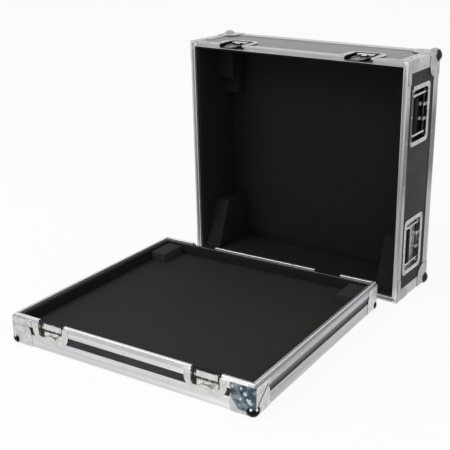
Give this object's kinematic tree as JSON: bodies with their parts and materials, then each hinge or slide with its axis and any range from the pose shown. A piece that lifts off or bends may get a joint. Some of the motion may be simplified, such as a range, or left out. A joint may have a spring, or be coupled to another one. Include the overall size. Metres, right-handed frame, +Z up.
{
  "type": "mixer flight case",
  "caption": "Open flight case for a mixing desk: shallow foam-lined tray and deep lift-off lid with aluminium edges, ball corners, butterfly latches and sprung recessed handles.",
  "frame": {"origin": "on the floor, under the middle of the tray", "axes": "+X right along the tray's front, +Y to the back, towards the standing lid, +Z up"},
  "size_m": [0.7641, 0.9964, 0.6891],
  "materials": {
    "laminated_board": "black laminate with a fine grain",
    "angle_aluminium": "satin anodised",
    "rim_aluminium": "satin anodised",
    "corner_steel": "bright plated",
    "brace_steel": "bright plated",
    "floor_foam": "dark grey foam",
    "black_foam": "black foam",
    "dish_steel": "bright zinc",
    "hook_steel": "bright zinc",
    "spindle_steel": "bright zinc",
    "wing_steel": "bright zinc",
    "handle_steel": "bright zinc",
    "bail_steel": "bright zinc",
    "grip_rubber": "matt black"
  },
  "bodies": {
    "tray": {"keeper_back_left": "dish_steel", "keeper_back_right": "dish_steel", "keeper_front_left": "dish_steel", "keeper_front_right": "dish_steel", "tray_back_panel": "laminated_board", "tray_ball_corners": "corner_steel", "tray_base_angles": "angle_aluminium", "tray_corner_angles": "angle_aluminium", "tray_end_panels": "laminated_board", "tray_floor_foam": "floor_foam", "tray_floor_panel": "laminated_board", "tray_foam_blocks": "black_foam", "tray_front_panel": "laminated_board", "tray_rim": "rim_aluminium", "tray_rim_braces": "brace_steel", "tray_wall_foam": "black_foam"},
    "lid": {"handle_dish_back_left": "handle_steel", "handle_dish_back_right": "handle_steel", "handle_dish_front_left": "handle_steel", "handle_dish_front_right": "handle_steel", "handle_pins": "bail_steel", "latch_dish_back_left": "dish_steel", "latch_dish_back_right": "dish_steel", "latch_dish_front_left": "dish_steel", "latch_dish_front_right": "dish_steel", "lid_back_panel": "laminated_board", "lid_ball_corners": "corner_steel", "lid_corner_angles": "angle_aluminium", "lid_end_foam": "black_foam", "lid_front_panel": "laminated_board", "lid_left_panel": "laminated_board", "lid_right_panel": "laminated_board", "lid_rim": "rim_aluminium", "lid_rim_braces": "brace_steel", "lid_slope_blocks": "black_foam", "lid_step_blocks": "black_foam", "lid_top_angles": "angle_aluminium", "lid_top_foam": "black_foam", "lid_top_panel": "laminated_board", "lid_wall_foam": "black_foam"},
    "handle_front_left": {"handle_bail_front_left": "bail_steel", "handle_grip_front_left": "grip_rubber"},
    "handle_front_right": {"handle_bail_front_right": "bail_steel", "handle_grip_front_right": "grip_rubber"},
    "handle_back_left": {"handle_bail_back_left": "bail_steel", "handle_grip_back_left": "grip_rubber"},
    "handle_back_right": {"handle_bail_back_right": "bail_steel", "handle_grip_back_right": "grip_rubber"},
    "hook_front_left": {"latch_hook_front_left": "hook_steel"},
    "spindle_front_left": {"latch_spindle_front_left": "spindle_steel"},
    "wing_front_left": {"latch_wing_front_left": "wing_steel"},
    "hook_front_right": {"latch_hook_front_right": "hook_steel"},
    "spindle_front_right": {"latch_spindle_front_right": "spindle_steel"},
    "wing_front_right": {"latch_wing_front_right": "wing_steel"},
    "hook_back_left": {"latch_hook_back_left": "hook_steel"},
    "spindle_back_left": {"latch_spindle_back_left": "spindle_steel"},
    "wing_back_left": {"latch_wing_back_left": "wing_steel"},
    "hook_back_right": {"latch_hook_back_right": "hook_steel"},
    "spindle_back_right": {"latch_spindle_back_right": "spindle_steel"},
    "wing_back_right": {"latch_wing_back_right": "wing_steel"}
  },
  "joints": [
    {"name": "lid_lift", "type": "slide", "parent": "tray", "child": "lid", "axis": [0, 0, 1], "range_m": [0, 0.35]},
    {"name": "handle_swing_front_left", "type": "hinge", "parent": "lid", "child": "handle_front_left", "pos_m": [-0.29373, 0.56887, 0.15724], "axis": [0.0032, 0.0392, -0.9992], "range_deg": [0, 90], "stiffness_Nm_per_rad": 0.25, "springref_deg": -17.19},
    {"name": "handle_swing_front_right", "type": "hinge", "parent": "lid", "child": "handle_front_right", "pos_m": [0.38608, 0.51418, 0.15724], "axis": [-0.0032, -0.0392, 0.9992], "range_deg": [0, 90], "stiffness_Nm_per_rad": 0.25, "springref_deg": -17.19},
    {"name": "handle_swing_back_left", "type": "hinge", "parent": "lid", "child": "handle_back_left", "pos_m": [-0.2949, 0.55436, 0.52695], "axis": [0.0032, 0.0392, -0.9992], "range_deg": [0, 90], "stiffness_Nm_per_rad": 0.25, "springref_deg": -17.19},
    {"name": "handle_swing_back_right", "type": "hinge", "parent": "lid", "child": "handle_back_right", "pos_m": [0.38491, 0.49967, 0.52695], "axis": [-0.0032, -0.0392, 0.9992], "range_deg": [0, 90], "stiffness_Nm_per_rad": 0.25, "springref_deg": -17.19},
    {"name": "hook_slide_front_left", "type": "slide", "parent": "lid", "child": "hook_front_left", "axis": [-0.0801, -0.996, -0.0393], "range_m": [0, 0.008]},
    {"name": "latch_turn_front_left", "type": "hinge", "parent": "lid", "child": "spindle_front_left", "pos_m": [-0.18354, 0.47952, 0.00897], "axis": [0.0032, 0.0392, -0.9992], "range_deg": [0, 180]},
    {"name": "wing_fold_front_left", "type": "hinge", "parent": "spindle_front_left", "child": "wing_front_left", "pos_m": [-0.18352, 0.47972, 0.00378], "axis": [-0.9968, 0.0802, 0], "range_deg": [0, 90]},
    {"name": "hook_slide_front_right", "type": "slide", "parent": "lid", "child": "hook_front_right", "axis": [-0.0801, -0.996, -0.0393], "range_m": [0, 0.008]},
    {"name": "latch_turn_front_right", "type": "hinge", "parent": "lid", "child": "spindle_front_right", "pos_m": [0.26302, 0.44359, 0.00897], "axis": [0.0032, 0.0392, -0.9992], "range_deg": [0, 180]},
    {"name": "wing_fold_front_right", "type": "hinge", "parent": "spindle_front_right", "child": "wing_front_right", "pos_m": [0.26303, 0.44379, 0.00378], "axis": [-0.9968, 0.0802, 0], "range_deg": [0, 90]},
    {"name": "hook_slide_back_left", "type": "slide", "parent": "lid", "child": "hook_back_left", "axis": [-0.0801, -0.996, -0.0393], "range_m": [0, 0.008]},
    {"name": "latch_turn_back_left", "type": "hinge", "parent": "lid", "child": "spindle_back_left", "pos_m": [-0.16569, 0.45204, 0.66846], "axis": [-0.0032, -0.0392, 0.9992], "range_deg": [0, 180]},
    {"name": "wing_fold_back_left", "type": "hinge", "parent": "spindle_back_left", "child": "wing_back_left", "pos_m": [-0.1657, 0.45183, 0.67366], "axis": [0.9968, -0.0802, 0], "range_deg": [0, 90]},
    {"name": "hook_slide_back_right", "type": "slide", "parent": "lid", "child": "hook_back_right", "axis": [-0.0801, -0.996, -0.0393], "range_m": [0, 0.008]},
    {"name": "latch_turn_back_right", "type": "hinge", "parent": "lid", "child": "spindle_back_right", "pos_m": [0.241, 0.41931, 0.66846], "axis": [-0.0032, -0.0392, 0.9992], "range_deg": [0, 180]},
    {"name": "wing_fold_back_right", "type": "hinge", "parent": "spindle_back_right", "child": "wing_back_right", "pos_m": [0.24098, 0.41911, 0.67366], "axis": [0.9968, -0.0802, 0], "range_deg": [0, 90]}
  ],
  "couplings": [
    {"joint": "latch_turn_front_left", "follows": "hook_slide_front_left", "rad_per_m": 392.69},
    {"joint": "latch_turn_front_right", "follows": "hook_slide_front_right", "rad_per_m": 392.69},
    {"joint": "latch_turn_back_left", "follows": "hook_slide_back_left", "rad_per_m": 392.69},
    {"joint": "latch_turn_back_right", "follows": "hook_slide_back_right", "rad_per_m": 392.69}
  ]
}
